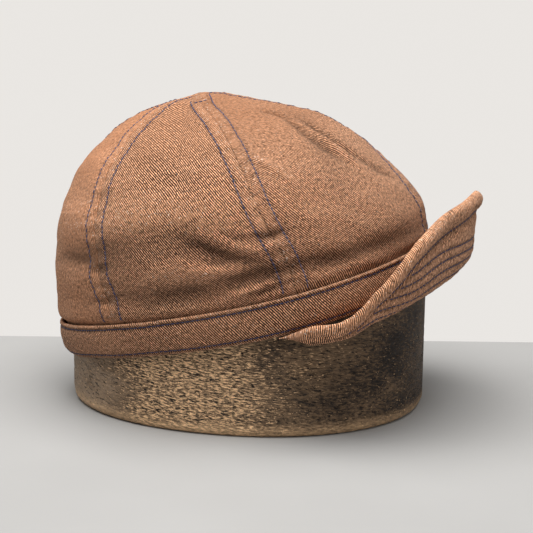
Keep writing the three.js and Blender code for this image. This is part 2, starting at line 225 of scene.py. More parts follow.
def running_length(path):
    """Length along a line of points, from 0 at its first point."""
    return np.concatenate([[0], np.cumsum(np.linalg.norm(np.diff(path, axis=0), axis=1))])


# Small steps that give a surface its directions: degrees round it and millimetres up it.
FRAME_TURN = 0.4
FRAME_REACH = 0.4


def surface_frame(surface, azimuth, height, low, high):
    """Directions level, up and out of a surface, from small steps on both sides."""
    turn = math.radians(FRAME_TURN)
    level = unit(surface(azimuth - turn, height) - surface(azimuth + turn, height))
    above = surface(azimuth, np.minimum(height + FRAME_REACH, high))
    below = surface(azimuth, np.maximum(height - FRAME_REACH, low))
    up = unit(above - below)
    return level, up, unit(np.cross(level, up))


def crown_frame(azimuth, height):
    """Directions level, up and out of the smooth crown."""
    return surface_frame(crown_smooth, azimuth, height, CROWN_LOW, CROWN_TOP)


def placed(points):
    """From the cap's own frame to the part's: tilted back and set on the block."""
    c, s = math.cos(CAP_TILT), math.sin(CAP_TILT)
    x, y, z = points[..., 0], points[..., 1], points[..., 2]
    return np.stack([x * c - z * s, y, x * s + z * c], -1) + CAP_CENTRE


# Crown relief: dents, seams and puckers

SEAMS = np.radians([-180, -121, -62, -21.5, 64.2, 121, 180])
PANELS = ("back_left", "side_left", "front_left", "front_right", "side_right", "back_right")
# Some seams turn a little as they go down, all the way below the one height.
SEAM_TURNS = table(
    "seam turn low high",
    (3, 20.0, 44, 92),
    (4, -2.2, 20, 60),
    (5, -3.3, 24, 52),
)
CLOTH_THICKNESS = 1.4
PANEL_GAP = 0.06
PANEL_PUFF = 0.5

FOLDS = table(
    "azimuth height rise along across depth",
    (82, 49, -36, 20, 9, 2.2),
    (84, 62, -30, 26, 11, -1.2),
    (64, 50, -2, 14, 7, 0.9),
    (73, 32, 6, 24, 7, 1.6),
    (84, 39, -12, 28, 7, -1.3),
    (116, 57, -4, 46, 9, 1.8),
    (122, 72, -4, 44, 13, -1.3),
    (104, 31, -10, 34, 7, 1.2),
    (40, 28, 2, 38, 8, 0.9),
    (24, 88, 60, 34, 8, 0.9),
    (-70, 46, -28, 26, 10, 2.6),
    (-95, 34, 8, 34, 8, 2.0),
    (-38, 25, 4, 40, 9, 2.0),
    (-128, 58, 6, 40, 10, 1.8),
)
CREASES = table(
    "azimuth height rise along across depth",
    (92, 59, -23, 10, 5.0, 0.6),
    (85, 52, -40, 7, 2.4, 1.8),
    (81, 48, -32, 6, 1.9, 2.0),
    (80, 54, -34, 9, 3.0, -0.5),
    (73, 52, -30, 8, 2.2, 1.5),
    (66, 50, -13, 5, 1.7, 1.4),
    (63, 50, 3, 5, 1.8, 1.1),
    (72, 47, -18, 10, 3.0, -1.0),
    (64, 46, 1, 5, 3.0, -0.9),
    (80, 43, 2, 8, 2.1, 1.6),
    (73, 41, -23, 8, 2.0, 1.4),
    (81, 39, -10, 11, 3.0, -0.9),
    (80, 34, -11, 7, 2.0, 0.6),
    (74, 32, 2, 10, 3.0, 1.9),
    (68, 32, -17, 7, 3.2, 2.0),
    (62, 31, -4, 5, 1.8, 0.9),
    (74, 26, 5, 14, 2.6, -2.0),
    (71, 24, 8, 10, 1.7, 3.2),
    (53, 32, -8, 15, 3.4, 1.4),
    (33, 29, -3, 41, 4.2, 1.1),
    (48, 24, 2, 35, 3.0, -1.0),
    (92, 32, 1, 14, 3.0, 1.8),
    (92, 27, -6, 23, 5.0, 0.6),
    (92, 22, -3, 24, 2.4, -1.0),
    (26, 106, -68, 8, 2.4, 1.8),
    (26, 98, 79, 12, 2.4, 1.8),
    (26, 83, -77, 13, 3.0, 1.5),
    (21, 84, -83, 22, 1.9, -1.4),
    (17, 90, -89, 13, 2.6, 1.8),
    (15, 75, -70, 13, 2.6, 1.9),
    (9, 62, -48, 8, 3.0, 1.8),
    (54, 82, -62, 15, 3.0, -1.3),
    (119, 32, 5, 14, 2.4, 1.0),
    (125, 52, -10, 22, 2.8, 0.8),
    (120, 47, -6, 6, 2.4, 1.4),
    (134, 55, -3, 24, 5.5, 0.6),
    (100, 41, 20, 13, 2.2, -0.4),
    (96, 50, 7, 9, 2.0, 0.4),
    (-72, 40, -24, 18, 3.0, 0.9),
    (-98, 30, 10, 20, 3.0, 0.8),
    (-60, 33, 4, 22, 3.2, 1.2),
    (-34, 30, 2, 36, 4.0, 1.4),
    (-126, 50, 8, 24, 3.2, 1.1),
    (-160, 42, -4, 26, 4.0, 0.9),
)

# How far a fold still presses the cloth in, through the crown.
FOLD_REACH = 40
# Rows of stitches beside a seam, and the row that crosses the right-hand seam near the top.
SEAM_ROW = 6.4
SEAM_ROW_TOP = 6.1
CROSSING_ROW = {"seam": 4, "height": 120.3, "start": -17, "end": 22, "steps": 40}
# Relief of the crown: how high or deep each form is, its step, and how far it reaches. The
# ladder's reach is a share of the way from its seam to the row.
FELLED_RISE = 0.35
SEAM_CREASE = {"depth": 0.22, "reach": 0.5}
ROW_GROOVE = {"depth": 0.38, "reach": 0.85}
PUCKERS = {"height": 0.2, "step": 6.5, "reach": 3.2}
LADDER = {"depth": 0.58, "step": 9.7, "reach": 0.85}
SOFT_RELIEF = 0.3
FINE_RELIEF = 0.09
# How much painted shade the ladder's rungs add to the crease mark.
LADDER_SHADE = 1.3
# Random waves: the shortest and the longest, the seed, and the number where it isn't 20.
CROWN_WAVES = {"puckers": (14, 40, 3, 8), "ladder": (25, 60, 4, 6), "soft": (16, 48, 11), "fine": (5, 12, 12)}


def seam_azimuths(height):
    """Azimuths of all the seams at a height, in a last dimension of their own."""
    height = np.asarray(height, dtype=float)[..., None]
    azimuths = SEAMS + 0 * height
    for seam, turn, low, high in zip(*SEAM_TURNS.values()):
        turned_seam = np.arange(len(SEAMS)) == seam
        azimuths = azimuths + turned_seam * math.radians(turn) * (1 - ease(low, high, height))
    return azimuths


def fold_depth(point, height):
    """How far the folds press the cloth in: for each fold, a bell along its line times a
    bell across it, in the smooth crown's own tangent plane at the fold's middle."""
    total = np.zeros(point.shape[:-1])
    for rows in (FOLDS, CREASES):
        azimuth = np.radians(rows["azimuth"])
        middles = crown_smooth(azimuth, rows["height"])
        level, up, out = crown_frame(azimuth, rows["height"])
        rise = np.radians(rows["rise"])[:, None]
        lines = level * np.cos(rise) + up * np.sin(rise)
        crossings = np.cross(out, lines)
        for i, depth in enumerate(rows["depth"]):
            offset = point - middles[i]
            near = bell(offset @ out[i], FOLD_REACH)
            along = bell(offset @ lines[i], rows["along"][i])
            across = bell(offset @ crossings[i], rows["across"][i])
            total += depth * near * along * across
    return total * ease(BAND_HEIGHT, BAND_HEIGHT + 8, height)


def meridian_length(height):
    """Length of the crown's side line from the tuck up to a height."""
    heights = np.linspace(CROWN_LOW, CROWN_TOP, 400)
    return np.interp(height, heights, running_length(crown_smooth(math.pi / 2, heights)))


def seam_distance(azimuth, height):
    """Level distance to the nearest seam, and that seam's number: the difference in azimuth
    times the crown's breadth for each step of azimuth."""
    stride = np.radians(0.5)
    breadth = crown_smooth(azimuth + stride, height) - crown_smooth(azimuth - stride, height)
    away = np.abs(np.asarray(azimuth)[..., None] - seam_azimuths(height))
    nearest = away.argmin(-1)
    distance = away.min(-1) * np.linalg.norm(breadth, axis=-1) / (2 * stride)
    return distance, nearest % (len(SEAMS) - 1)


def seam_row(height):
    """How far a row of stitches runs from its seam, closer together at the top."""
    return SEAM_ROW + (SEAM_ROW_TOP - SEAM_ROW) * ease(60, 95, height)


def crown_relief(azimuth, height, point):
    """Everything that stands off the smooth crown: puff of the panels, folds, the felled
    seam with its crease and two sunk rows of stitches, puckers beside them, rungs across
    it and soft waves. Also returns the distance to the seam and how much is in shade."""
    azimuth, height = np.broadcast_arrays(azimuth, height)
    distance, seam = seam_distance(azimuth, height)
    run = meridian_length(height)
    row = seam_row(height)
    from_row = distance - row
    free = ease(BAND_HEIGHT, BAND_HEIGHT + 5, height)
    top_free = 1 - ease(121, 124.5, height)
    width = distance / np.maximum(distance + row, 1e-6)
    puff = ease(BAND_HEIGHT, 40, height) * (1 - ease(100, 122, height)) * (1 - (1 - width) ** 2)
    felled = FELLED_RISE * (1 - ease(row - 0.5, row + 0.9, distance))
    crease = -SEAM_CREASE["depth"] * bell(distance, SEAM_CREASE["reach"])
    sunk = -ROW_GROOVE["depth"] * bell(from_row, ROW_GROOVE["reach"])
    uneven = 2.2 * ripples(run, seam * 40.0, *CROWN_WAVES["puckers"]) + seam * 1.7
    pulled = np.sin(2 * math.pi * run / PUCKERS["step"] + uneven)
    puckers = PUCKERS["height"] * pulled * bell(from_row, PUCKERS["reach"])
    uneven = 0.9 * ripples(run, seam * 30.0, *CROWN_WAVES["ladder"]) + seam * 2.1
    rung = ((1 + np.sin(2 * math.pi * run / LADDER["step"] + uneven)) / 2) ** 3
    ladder = -LADDER["depth"] * rung * bell(distance, row * LADDER["reach"]) * (1 - ease(95, 108, height))
    x, y, z = point[..., 0], point[..., 1], point[..., 2]
    soft = SOFT_RELIEF * ripples(x, z + 0.6 * y, *CROWN_WAVES["soft"])
    fine = FINE_RELIEF * ripples(x + y, z, *CROWN_WAVES["fine"])
    seamwork = (felled + crease + sunk + puckers + ladder) * top_free
    folds = fold_depth(point, height)
    relief = free * (PANEL_PUFF * puff + seamwork + soft + fine) - folds
    return relief, distance, folds - LADDER_SHADE * free * ladder * top_free


def crown_surface(azimuth, height):
    """The finished outer face of the crown, its outward direction, the distance to the
    nearest seam and how much is in shade: the smooth crown moved out by its relief."""
    point = crown_smooth(azimuth, height)
    out = crown_frame(azimuth, height)[2]
    relief, distance, shade = crown_relief(azimuth, height, point)
    return point + out * relief[..., None], out, distance, shade


# Meshes from lofted loops

NO_CORNER = -1


def turned(faces, corners):
    """The same faces and their corner values, wound the other way. A three-sided face has
    no fourth corner."""
    faces, corners = faces.copy(), corners.copy()
    three = faces[:, 3] == NO_CORNER
    faces[~three], corners[~three] = faces[~three][:, ::-1], corners[~three][:, ::-1]
    faces[three, :3], corners[three, :3] = faces[three, 2::-1], corners[three, 2::-1]
    return faces, corners


def strip_cap(cloth, first):
    """Faces between the two halves of a flat loop, whose points are numbered from first,
    and the cloth places of their corners."""
    corners = len(cloth) - 1
    j = np.arange((corners - 1) // 2)
    faces = np.stack([j, corners - 1 - j, corners - 2 - j, j + 1], -1)
    faces[faces[:, 2] == faces[:, 3], 3] = NO_CORNER
    return np.where(faces == NO_CORNER, NO_CORNER, faces + first), cloth[faces]


def fan_cap(cloth, first, middle):
    """Faces between a round loop, whose points are numbered from first, and the point in
    its middle, and the cloth places of their corners."""
    corners = len(cloth) - 1
    j = np.arange(corners)
    after = (j + 1) % corners
    faces = np.stack([after + first, j + first, 0 * j + middle, 0 * j + NO_CORNER], -1)
    return faces, np.stack([cloth[j + 1], cloth[j], cloth[j], cloth[j]], 1)


def loft(loops, cloth, ring=False, cap=None):
    """Faces through loops[station, corner]: each loop is joined to the next, and the last
    to the first in a ring. A strip cap joins the two halves of a flat loop, and a fan cap
    joins a round one to its middle. Returns points, faces and cloth place by corner."""
    stations, corners = loops.shape[:2]
    i = np.arange(stations if ring else stations - 1)[:, None]
    k = np.arange(corners)[None, :]
    here, there = i * corners, (i + 1) % stations * corners
    beside = (k + 1) % corners
    faces = np.stack([here + k, here + beside, there + beside, there + k], -1).reshape(-1, 4)
    places = [cloth[i, k], cloth[i, k + 1], cloth[i + 1, k + 1], cloth[i + 1, k]]
    spread = np.stack(places, -2).reshape(-1, 4, 2)
    points = loops.reshape(-1, 3)
    for station in (0, stations - 1) if cap else ():
        first = station * corners
        if cap == "strip":
            ends, values = strip_cap(cloth[station], first)
        else:
            ends, values = fan_cap(cloth[station], first, len(points))
            points = np.concatenate([points, loops[station].mean(0)[None]])
        if station:
            ends, values = turned(ends, values)
        faces = np.concatenate([faces, ends])
        spread = np.concatenate([spread, values])
    return points, faces, spread


def add_piece(name, points, faces, cloth, material, marks=None, replaces=()):
    """A closed, smooth mesh from points in millimetres, faces and the cloth place of every
    corner, its faces turned outwards by the sign of its volume. It rides on the one body."""
    three = faces[:, 3] == NO_CORNER
    a, b, c = (points[faces[:, k]] for k in (0, 1, 2))
    d = np.where(three[:, None], c, points[faces[:, 3]])
    if np.sum(a * np.cross(b, c)) + np.sum(a * np.cross(c, d)) < 0:
        faces, cloth = turned(faces, cloth)
    sides = [face[:3] if short else face for face, short in zip(faces.tolist(), three.tolist())]
    mesh = bpy.data.meshes.new(name)
    mesh.from_pydata((points * MM).tolist(), [], sides)
    mesh.polygons.foreach_set("use_smooth", np.ones(len(sides), dtype=bool))
    layer = mesh.uv_layers.new(name="cloth")
    layer.data.foreach_set("uv", (cloth[faces != NO_CORNER] * MM).ravel())
    for mark, values in (marks or {}).items():
        padded = np.zeros(len(points), dtype=np.float32)
        padded[: np.size(values)] = np.ravel(values)
        mesh.attributes.new(mark, "FLOAT", "POINT").data.foreach_set("value", padded)
    mesh.materials.append(material)
    piece = bpy.data.objects.new(name, mesh)
    bpy.context.scene.collection.objects.link(piece)
    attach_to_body(piece, "root")
    if replaces:
        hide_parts(*replaces)


# Crown panels

PANEL_COLUMNS = 112
PANEL_ROWS = 150
PANEL_BUNCHING = 0.65
# How far below the crown's top section the panels end.
TOP_MARGIN = 0.02
# How much the brushed surface hides the weave, for each panel and more towards the top.
PANEL_NAP = (0.60, 0.0, 0.15, 0.15, 0.0, 0.60)
TOP_NAP = 0.55
# Depth at which a fold is in full shade, and the shade of the seam and of its stitch rows.
FULL_SHADE = 2.0
SEAM_SHADE = {"seam": 0.25, "seam_reach": 0.7, "row": 0.5, "row_reach": 1.0}


def panel_shares():
    """Columns across a panel: closer together beside the seams, by a blend of even steps
    and a cosine, so that creases and stitches have enough faces."""
    even = np.linspace(0, 1, PANEL_COLUMNS + 1)
    bunched = 0.5 - 0.5 * np.cos(math.pi * even)
    return (1 - PANEL_BUNCHING) * even + PANEL_BUNCHING * bunched


def even_heights(count, low, high):
    """Heights that split the crown's side line between two heights into equal steps."""
    heights = np.linspace(CROWN_LOW, CROWN_TOP, 800)
    run = meridian_length(heights)
    wanted = np.linspace(meridian_length(low), meridian_length(high), count + 1)
    return np.interp(wanted, run, heights)


def there_and_back(values):
    """Values across the outer sheet, and then the same in reverse across the inner one."""
    return np.concatenate([values, values[:, ::-1]], 1)


def panel_marks(number, distance, folds, heights):
    """What the material reads: painted shade in the folds and along the stitches, rubbing on
    the seams, paler crests of the folds, and the nap, which is raised most towards the top."""
    row = seam_row(heights)
    along_seam = SEAM_SHADE["seam"] * bell(distance, SEAM_SHADE["seam_reach"])
    along_rows = SEAM_SHADE["row"] * bell(distance - row, SEAM_SHADE["row_reach"])
    crests = np.clip(-folds, 0, 1) * (1 - ease(100, 112, heights))
    nap = PANEL_NAP[number] + TOP_NAP * ease(84, 112, heights)
    return {
        # Painted shade: the crease mark darkens the folds, the seam and its stitch rows.
        "crease": np.clip(folds / FULL_SHADE, 0, 1) + along_seam + along_rows,
        "worn": np.maximum(bell(distance, row * 0.8), crests),
        "nap": np.broadcast_to(nap, folds.shape),
    }


def crown_panel(number, material):
    """One panel: the crown's surface over the azimuths between two seams and the heights
    from the tuck to the top, with an inner sheet one thickness of cloth further in."""
    heights = even_heights(PANEL_ROWS, CROWN_LOW, CROWN_TOP - TOP_MARGIN)[:, None]
    shares = panel_shares()[None, :]
    seams = seam_azimuths(heights)
    start, end = seams[..., number], seams[..., number + 1]
    plain = start + (end - start) * shares
    middle = crown_smooth(plain, heights)
    radius = np.hypot(middle[..., 0] - APEX_SHIFT * (heights / CROWN_TOP) ** 2, middle[..., 1])
    azimuth = plain + (1 - 2 * shares) * PANEL_GAP / 2 / np.maximum(radius, 0.3)
    thickness = CLOTH_THICKNESS * np.minimum(1, 0.3 + radius / 6)
    outer, out, distance, folds = crown_surface(azimuth, heights)
    rounded = 0.35 * bell(distance, 0.5)
    inner = outer - out * (thickness - rounded)[..., None]
    loops = np.concatenate([outer, inner[:, ::-1]], 1)
    width = np.linalg.norm(np.diff(middle, axis=1), axis=-1).sum(1)[:, None]
    across = (shares - 0.5) * width
    up = np.broadcast_to(meridian_length(heights), across.shape)
    flat = np.stack([across, up], -1)
    cloth = np.concatenate([there_and_back(flat), flat[:, :1]], 1)
    marks = panel_marks(number, there_and_back(distance), there_and_back(folds), heights)
    points, faces, spread = loft(placed(loops), cloth, cap="strip")
    node = "crown_panel_" + PANELS[number]
    add_piece(node + "_cloth", points, faces, spread, material, marks, [node])


# Band

BAND_STATIONS = 640
BAND_WALL = 2.0
BAND_TOP_ROW = 16.6
BAND_LOW_ROW = 2.3
# A radius turns an azimuth into a length round the band, as for the brim and the block.
BAND_RADIUS = 98


def band_relief(around, height):
    """The band's lip above its upper row of stitches, the soft roll below its lower one,
    both rows sunk, the cloth between them puffed, and puckers along the rows."""
    lip = 0.4 * ease(BAND_TOP_ROW, BAND_TOP_ROW + 1.2, height)
    roll = 0.35 * (1 - ease(BAND_LOW_ROW - 1.2, BAND_LOW_ROW, height))
    sunk = -0.42 * bell(height - BAND_TOP_ROW, 0.75) - 0.38 * bell(height - BAND_LOW_ROW, 0.75)
    puff = 0.3 * np.clip(1 - ((height - 9.5) / 7) ** 2, 0, 1)
    tuck = -0.8 * np.clip(1 - height / 4.5, 0, 1) ** 2
    pulled = np.sin(2 * math.pi * around / 5.6 + 2.5 * ripples(around, height * 0, 18, 60, 21, 8))
    puckers = 0.14 * pulled * (bell(height - BAND_TOP_ROW, 2.4) + bell(height - BAND_LOW_ROW, 2.2))
    soft = 0.3 * ripples(around, height * 1.5, 26, 70, 22) + 0.07 * ripples(around, height, 4, 9, 23)
    return lip + roll + tuck + sunk + puff + puckers + soft


def band_profile():
    """Heights and insets round the band's wall: up the outer face, over the top by a half
    circle, down the inner face and under by another half circle."""
    radius = BAND_WALL / 2
    turn = np.linspace(0, math.pi, 9)
    outer = np.linspace(radius, BAND_HEIGHT - radius, 40)[1:-1]
    inner = np.linspace(BAND_HEIGHT - radius, radius, 10)[1:-1]
    over, under = BAND_HEIGHT - radius + radius * np.sin(turn), radius - radius * np.sin(turn)
    inwards, outwards = radius - radius * np.cos(turn), radius + radius * np.cos(turn)
    height = np.concatenate([outer, over, inner, under])
    inset = np.concatenate([outer * 0, inwards, inner * 0 + BAND_WALL, outwards])
    return height, inset


def band_surface(azimuth, height, inset=0.0):
    """Point of the band's wall: the smooth band moved in by the inset and out by its
    relief, which fades on the inner face."""
    azimuth, height, inset = np.broadcast_arrays(azimuth, height, inset)
    point = band_smooth(azimuth, height)
    out = surface_frame(band_smooth, azimuth, height, 0, BAND_HEIGHT)[2]
    relief = band_relief(azimuth * BAND_RADIUS, height) * (1 - ease(0.2, 1.6, inset))
    return point + out * (relief - inset)[..., None], out


def add_band(material):
    azimuth = np.linspace(-math.pi, math.pi, BAND_STATIONS + 1)[:, None]
    height, inset = band_profile()
    loops, _ = band_surface(azimuth[:-1], height[None, :], inset[None, :])
    profile = np.stack([height, inset], -1)
    run = running_length(np.concatenate([profile, profile[:1]]))
    cloth = np.stack(np.broadcast_arrays(azimuth * BAND_RADIUS, run[None, :]), -1)
    # Painted shade: the crease mark darkens the two sunk rows of stitches on the outer face.
    sunk = bell(height - BAND_TOP_ROW, 0.9) + bell(height - BAND_LOW_ROW, 0.9)
    worn = ease(BAND_HEIGHT - 1.8, BAND_HEIGHT - 0.6, height) + 0.6 * (1 - ease(0.3, 1.4, height))
    shape = loops.shape[:2]
    marks = {"crease": np.broadcast_to(sunk * (inset < 0.5), shape), "worn": np.broadcast_to(worn, shape)}
    points, faces, spread = loft(placed(loops), cloth, ring=True)
    add_piece("band_cloth", points, faces, spread, material, marks, ["band"])


# Brim

BRIM_STATIONS = 300
BRIM_FLAT_STEPS = 56
BRIM_ROLL_STEPS = 14
BRIM_HALF = 1.3
BRIM_ROLL = {"width": 9, "share": 0.35, "above": 1.7, "below": 3.5}
BRIM_ROWS = np.array([14.0, 19.5, 25.0, 30.0, 35.0])
BRIM_EDGE_ROW = 11.0
BRIM_GRID = 160
BRIM_TAPER = 5.0
BRIM_BUNCHING = 0.92
BRIM_RADIUS = 100


def brim_fullness(azimuth):
    """The cloth thins where each end of the brim slips under the band."""
    left = BRIM_SECTIONS["azimuth"][-1] - np.abs(np.degrees(azimuth))
    return 0.15 + 0.85 * ease(0, BRIM_TAPER, left)


def brim_length(azimuth):
    return read_column(BRIM_SECTIONS, "azimuth", "length", np.degrees(azimuth))


def brim_roll(length):
    return np.minimum(BRIM_ROLL["width"], BRIM_ROLL["share"] * length)


def brim_grid(azimuth):
    """Middle of the brim's cloth and its upward normal for each azimuth at even shares of
    the length. The slope goes smoothly from its start to its end value over the bend, and
    the profile is the running sum of its steps out from the rim and up."""
    degrees = np.degrees(azimuth)
    names = ("length", "start", "end")
    length, start, end = (read_column(BRIM_SECTIONS, "azimuth", name, degrees) for name in names)
    share = np.linspace(0, 1, BRIM_GRID + 1)
    middle_share = (share[1:] + share[:-1]) / 2
    bend = ease(0, BRIM_BEND, middle_share)[None, :]
    slope = np.radians(start[:, None] + (end - start)[:, None] * bend)
    step = length[:, None] / BRIM_GRID
    zero = np.zeros((len(azimuth), 1))
    ahead = np.concatenate([zero, np.cumsum(np.cos(slope) * step, 1)], 1) - BRIM_INSET
    drop = 0.5 + (BRIM_DROP - 0.5) * brim_fullness(azimuth)[:, None]
    rise = np.concatenate([zero, np.cumsum(np.sin(slope) * step, 1)], 1) - drop
    level = surface_frame(band_smooth, azimuth, np.zeros_like(azimuth), 0, 1)[0]
    out = unit(np.stack([level[:, 1], -level[:, 0], 0 * level[:, 0]], -1))
    middle = band_smooth(azimuth, np.zeros_like(azimuth))[:, None, :] + out[:, None, :] * ahead[..., None]
    middle[..., 2] += rise
    along = np.gradient(middle, axis=0)
    outward = np.gradient(middle, axis=1)
    return middle, unit(np.cross(along, outward))


def at_share(grid, share):
    """Values of a grid over station and share at other shares, between its columns."""
    place = np.clip(share, 0, 1) * BRIM_GRID
    low = np.clip(np.floor(place).astype(int), 0, BRIM_GRID - 1)
    part = (place - low)[..., None]
    station = np.arange(len(grid))[:, None]
    return grid[station, low] * (1 - part) + grid[station, low + 1] * part


def brim_side(back, roll, bulge):
    """How far a face stands from the middle of the cloth: half its thickness, and at the
    free edge the half ellipse of the roll."""
    full = BRIM_HALF + (bulge - BRIM_HALF) * roll / BRIM_ROLL["width"]
    rounded = full * np.sqrt(np.clip(1 - (2 * back / roll - 1) ** 2, 0, 1))
    return np.where(back > roll / 2, np.maximum(rounded, BRIM_HALF), rounded)


def brim_relief(azimuth, away, back, under):
    """Relief of one face: rows of stitches sunk at fixed ways from the rim, with puffed
    cloth between them, the row beside the roll, lumps in the roll and soft waves."""
    room = ease(BRIM_EDGE_ROW + 1.0, BRIM_EDGE_ROW + 3.5, back) * ease(0, 4, away)
    nearest = np.abs(away[..., None] - BRIM_ROWS).min(-1)
    quilt = room * (0.22 - 0.6 * bell(nearest, 0.85))
    long_enough = ease(20, 26, brim_length(azimuth))
    edge = -0.75 * bell(back - BRIM_EDGE_ROW, 1.0) * long_enough
    tuck_span = ease(2, 8, np.degrees(azimuth)) * (1 - ease(20, 28, np.degrees(azimuth)))
    tuck = -0.8 * bell(back - BRIM_EDGE_ROW - 2.6, 0.7) * tuck_span if under else 0
    around = azimuth * BRIM_RADIUS
    twist = np.sin(2 * math.pi * (around - back * 0.5) / 6.8 + 2 * ripples(around, back * 0, 20, 60, 31, 8))
    lumps = 0.16 * twist * (1 - ease(7, 10, back))
    soft = 0.35 * ripples(around, away, 18, 50, 32) + 0.08 * ripples(around, away, 4, 9, 33)
    fade = ease(0, 3, back) * ease(0, 3, away)
    return quilt + (edge + tuck) + lumps * ease(0, 1.5, back) + soft * fade


def brim_face(azimuth, back, under):
    """Point of the upper or lower face, a given way back from the free edge."""
    middle, normal = brim_grid(azimuth)
    length = brim_length(azimuth)[:, None]
    roll = brim_roll(length)
    share = 1 - back / length
    full = brim_fullness(azimuth)[:, None]
    side = brim_side(back, roll, BRIM_ROLL["below"] if under else BRIM_ROLL["above"]) * full
    relief = brim_relief(azimuth[:, None], share * length, back, under) * full
    turn = unit(at_share(normal, share)) * (-1 if under else 1)
    return at_share(middle, share) + turn * np.maximum(side + relief, 0 * side)[..., None], turn


def brim_azimuths():
    """Stations closer together towards both ends: the sine of even steps."""
    reach = math.pi / 2 * BRIM_BUNCHING
    even = np.linspace(-1, 1, BRIM_STATIONS + 1)
    return math.radians(BRIM_SECTIONS["azimuth"][-1]) * np.sin(even * reach) / math.sin(reach)


def add_brim(material):
    azimuth = brim_azimuths()
    length = brim_length(azimuth)[:, None]
    roll = brim_roll(length)
    flat = np.linspace(1, 0, BRIM_FLAT_STEPS + 1)[None, :]
    turn = np.linspace(0, math.pi, BRIM_ROLL_STEPS + 1)[None, 1:-1]
    back = np.concatenate([roll + (length - roll) * flat, roll / 2 * (1 + np.cos(turn))], 1)
    top, _ = brim_face(azimuth, back, False)
    bottom, _ = brim_face(azimuth, back, True)
    edge = at_share(brim_grid(azimuth)[0], np.ones((len(azimuth), 1)))
    loops = np.concatenate([top, edge, bottom[:, ::-1]], 1)
    away = np.concatenate([length - back, length, length + back[:, ::-1], 2 * length], 1)
    along_edge = running_length(edge[:, 0])[:, None]
    cloth = np.stack([np.broadcast_to(along_edge, away.shape), away], -1)
    both = np.concatenate([back, 0 * length, back[:, ::-1]], 1)
    reach = length - both
    nearest = np.abs(reach[..., None] - BRIM_ROWS).min(-1)
    rows = bell(nearest, 0.9) * ease(BRIM_EDGE_ROW, BRIM_EDGE_ROW + 3, both)
    # Painted shade: the crease mark darkens the sunk rows of stitches and the row beside the roll.
    marks = {"crease": rows + bell(both - BRIM_EDGE_ROW, 1.1), "worn": 1 - ease(2, 6, both)}
    points, faces, spread = loft(placed(loops), cloth, cap="strip")
    add_piece("brim_cloth", points, faces, spread, material, marks, ["brim"])


# Stitches

THREAD_RADIUS = 0.34
STITCH_STEP = 2.75
STITCH_LENGTH = 2.45
STITCH_RINGS = 6
STITCH_SIDES = 6
# How far the thread's own pattern moves on from one stitch to the next.
STITCH_SHIFT = 3.1
SEAM_ROW_ENDS = {"steps": 300, "low": 19.6, "high": 124.6}
BAND_ROW_STEPS = 2400
# The brim's rows run between two azimuths. The edge row needs a brim of some length, and
# the others keep clear of it.
BRIM_ROW_SPAN = {"start": -66, "end": 66, "steps": 900}
EDGE_ROW_LENGTH = 24
ROW_CLEARANCE = 1.5


def read_along(values, run, place):
    """Points or directions, given by length along a path, read at other lengths."""
    return np.stack([np.interp(place, run, values[:, axis]) for axis in range(3)], -1)


def stitches_along(path, out):
    """Short threads along a path on the cloth: each is a tube of a few rings that follows
    the path, rises off the cloth by a sine, and narrows where it dips in at both ends."""
    run = running_length(path)
    count = int(run[-1] // STITCH_STEP)
    if count < 1:
        return np.zeros((0, STITCH_RINGS, STITCH_SIDES, 3))
    spare = (run[-1] - count * STITCH_STEP) / 2
    start = spare + np.arange(count) * STITCH_STEP + (STITCH_STEP - STITCH_LENGTH) / 2
    part = np.linspace(0, 1, STITCH_RINGS)
    place = start[:, None] + part[None, :] * STITCH_LENGTH
    centre, normal = read_along(path, run, place), unit(read_along(out, run, place))
    lift = THREAD_RADIUS * (1.1 * np.sin(math.pi * part) ** 0.6 - 0.55)
    centre = centre + normal * lift[None, :, None]
    ahead = unit(np.gradient(centre, axis=1))
    beside = unit(np.cross(ahead, normal))
    above = np.cross(beside, ahead)
    thick = THREAD_RADIUS * (0.35 + 0.65 * np.sin(math.pi * np.clip(part, 0.06, 0.94)) ** 0.5)
    angle = np.linspace(0, 2 * math.pi, STITCH_SIDES, endpoint=False)
    ring = np.cos(angle)[:, None] * beside[:, :, None, :] + np.sin(angle)[:, None] * above[:, :, None, :]
    return centre[:, :, None, :] + ring * thick[None, :, None, None]


def add_stitches(name, groups, material):
    """All the threads of one piece as a single mesh: tubes[stitch, ring, side], each closed
    at both ends by six sides that are cut into two faces."""
    tubes = np.concatenate(groups)
    count = len(tubes)
    ring = np.arange(STITCH_RINGS - 1)[:, None] * STITCH_SIDES
    side = np.arange(STITCH_SIDES)[None, :]
    after = (side + 1) % STITCH_SIDES
    above = ring + STITCH_SIDES
    walls = np.stack([ring + side, ring + after, above + after, above + side], -1).reshape(-1, 4)
    ends = np.array([[5, 4, 1, 0], [4, 3, 2, 1]])
    corners = STITCH_RINGS * STITCH_SIDES
    one = np.concatenate([walls, ends, ends[:, ::-1] + corners - STITCH_SIDES])
    faces = (one[None] + (np.arange(count) * corners)[:, None, None]).reshape(-1, 4)
    along = np.repeat(np.arange(STITCH_RINGS) / (STITCH_RINGS - 1) * STITCH_LENGTH, STITCH_SIDES)
    across = np.tile(np.arange(STITCH_SIDES) / STITCH_SIDES, STITCH_RINGS)
    shifted = np.tile(along, count) + np.repeat(np.arange(count), corners) * STITCH_SHIFT
    spot = np.stack([shifted, np.tile(across, count)], -1)
    add_piece(name, placed(tubes.reshape(-1, 3)), faces, spot[faces], material)


